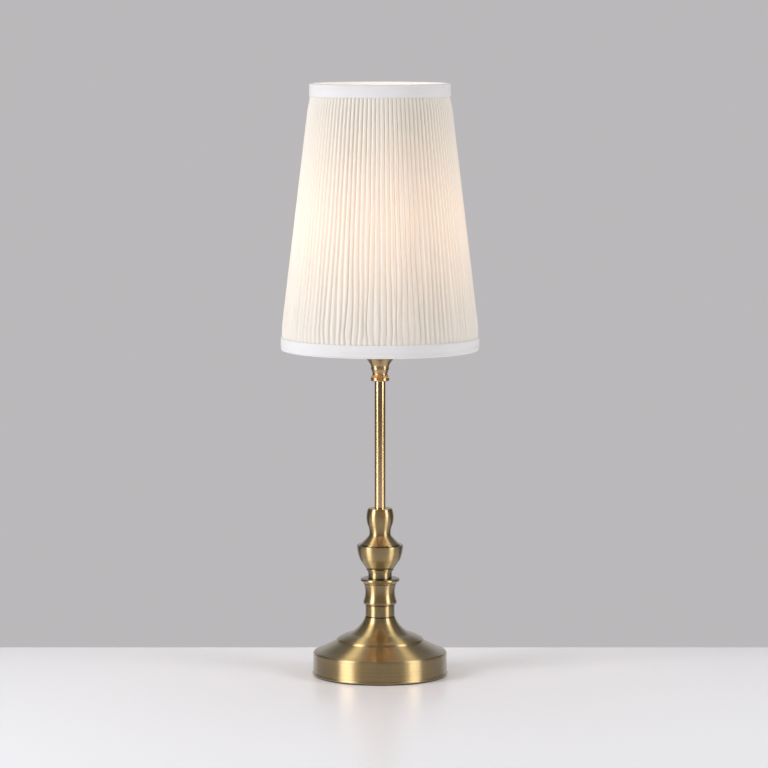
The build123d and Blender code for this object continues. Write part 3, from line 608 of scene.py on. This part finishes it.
def bead(radius, height, thickness, slot):
    """Thin round bead turned round the collar."""
    ring = bmesh.new()
    bmesh.ops.create_circle(ring, segments=14, radius=thickness)
    turn = Matrix.Translation((radius, 0, height)) @ Matrix.Rotation(radians(90), 4, "X")
    bmesh.ops.transform(ring, verts=ring.verts, matrix=turn)
    bmesh.ops.spin(
        ring, geom=ring.verts[:] + ring.edges[:], cent=(0, 0, 0), axis=(0, 0, 1),
        angle=2 * pi, steps=spin_steps, use_merge=True, use_duplicate=False)
    bmesh.ops.recalc_face_normals(ring, faces=ring.faces)
    return finished_piece("foot_bead", ring, slot, "stand")


# ---------------------------------------------------------------- staging
view_distance = 3.510
view_height = 0.618
view_pitch = 5.715           # degrees down from level
view_side = 3.6 * mm         # the column stands a little left of the picture's middle
view_lens = 182.2
table_back = 0.149
table_front = 1.6
table_half_width = 2.2
table_thickness = 0.03
light_colour = (0.98, 0.99, 1.03)


def camera():
    data = bpy.data.cameras.new("view")
    data.lens = view_lens
    data.sensor_width = 36.0
    data.clip_end = 50.0
    eye = bpy.data.objects.new("view", data)
    eye.location = (view_side, -view_distance, view_height)
    eye.rotation_euler = (radians(90.0 - view_pitch), 0.0, 0.0)
    bpy.context.scene.collection.objects.link(eye)
    bpy.context.scene.camera = eye


def table():
    mesh = bpy.data.meshes.new("table")
    slab = bmesh.new()
    bmesh.ops.create_cube(slab, size=1.0)
    size = (2 * table_half_width, table_back + table_front, table_thickness)
    bmesh.ops.scale(slab, verts=slab.verts, vec=size)
    middle = Vector((0.0, (table_back - table_front) / 2, -table_thickness / 2))
    bmesh.ops.translate(slab, verts=slab.verts, vec=middle)
    bmesh.ops.bevel(
        slab, geom=slab.edges[:], offset=1.5 * mm, affect="EDGES", segments=3, profile=0.5,
        material=-1)
    slab.to_mesh(mesh)
    slab.free()
    finish = Finish("white_table", {
        "Base Color": rgb(0.92, 0.91, 0.92),
        "Roughness": 0.28,
        "Specular IOR Level": 0.5,
    })
    mesh.materials.append(finish.material)
    slab = bpy.data.objects.new("table", mesh)
    bpy.context.scene.collection.objects.link(slab)


def softbox(name, azimuth, elevation, distance, width, height, power):
    """Rectangular light aimed at the middle of the lamp; azimuth 0 is the viewer's side."""
    data = bpy.data.lights.new(name, "AREA")
    data.shape = "RECTANGLE"
    data.size = width
    data.size_y = height
    data.energy = power
    data.color = light_colour
    light = bpy.data.objects.new(name, data)
    a, e = radians(azimuth), radians(elevation)
    out = Vector((sin(a) * cos(e), -cos(a) * cos(e), sin(e)))
    aim = Vector((0.0, 0.0, 0.25))
    light.location = aim + out * distance
    light.rotation_mode = "QUATERNION"
    light.rotation_quaternion = (-out).to_track_quat("-Z", "Y")
    light.visible_camera = False
    bpy.context.scene.collection.objects.link(light)


def ramp(tree, source, low, high, start, end):
    """Smooth ramp of a direction's part, for the light of the surroundings."""
    made = tree.nodes.new("ShaderNodeMapRange")
    made.interpolation_type = "SMOOTHSTEP"
    for name, value in (
            ("From Min", low), ("From Max", high), ("To Min", start), ("To Max", end)):
        made.inputs[name].default_value = value
    tree.links.new(source, made.inputs["Value"])
    return made.outputs["Result"]


def studio():
    """Grey surroundings, darker on the viewer's side, two upright softboxes and one above."""
    world = bpy.data.worlds.new("studio")
    bpy.context.scene.world = world
    world.use_nodes = True
    tree = world.node_tree
    tree.nodes.clear()
    output = tree.nodes.new("ShaderNodeOutputWorld")
    seen = tree.nodes.new("ShaderNodeBackground")
    seen.inputs["Color"].default_value = rgb(0.495, 0.48, 0.492)
    around = tree.nodes.new("ShaderNodeBackground")
    way = tree.nodes.new("ShaderNodeTexCoord")
    parts = tree.nodes.new("ShaderNodeSeparateXYZ")
    tree.links.new(way.outputs["Generated"], parts.inputs["Vector"])
    wall = ramp(tree, parts.outputs["Y"], 0.62, 0.92, 0.115, 0.50)
    ceiling = ramp(tree, parts.outputs["Z"], 0.25, 0.75, 0.0, 0.33)
    both = tree.nodes.new("ShaderNodeMath")
    both.operation = "MAXIMUM"
    tree.links.new(wall, both.inputs[0])
    tree.links.new(ceiling, both.inputs[1])
    tree.links.new(both.outputs["Value"], around.inputs["Color"])
    path = tree.nodes.new("ShaderNodeLightPath")
    choice = tree.nodes.new("ShaderNodeMixShader")
    tree.links.new(path.outputs["Is Camera Ray"], choice.inputs["Fac"])
    tree.links.new(around.outputs["Background"], choice.inputs[1])
    tree.links.new(seen.outputs["Background"], choice.inputs[2])
    tree.links.new(choice.outputs["Shader"], output.inputs["Surface"])
    softbox("softbox_left", -60.0, 18.0, 1.7, 0.72, 1.5, 28.0)
    softbox("softbox_right", 62.0, 18.0, 1.7, 0.62, 1.5, 18.5)
    softbox("softbox_top", 180.0, 75.0, 1.9, 1.2, 0.8, 6.0)


# ---------------------------------------------------------------- put it together
for entry in frame["record"]["subparts"]:
    piece = nodes[entry["node"]]
    for place in piece.material_slots:
        place.material = finishes[entry["material_slot"]]

cover = pleated_cover()
lower = folded_band("lower_band", "bottom_band", 1)
upper = folded_band("upper_band", "top_band", -1)

for entry in frame["record"]["subparts"]:
    if entry["node"] in turned_nodes:
        turned_piece("lathe_" + entry["node"], entry["node"], entry["material_slot"])
collar_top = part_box("bead_collar")[1].z
bead(bead_radius, collar_top - bead_drop, bead_thickness, "turned_brass")

table()
camera()
studio()
bpy.context.scene.view_settings.view_transform = "Standard"
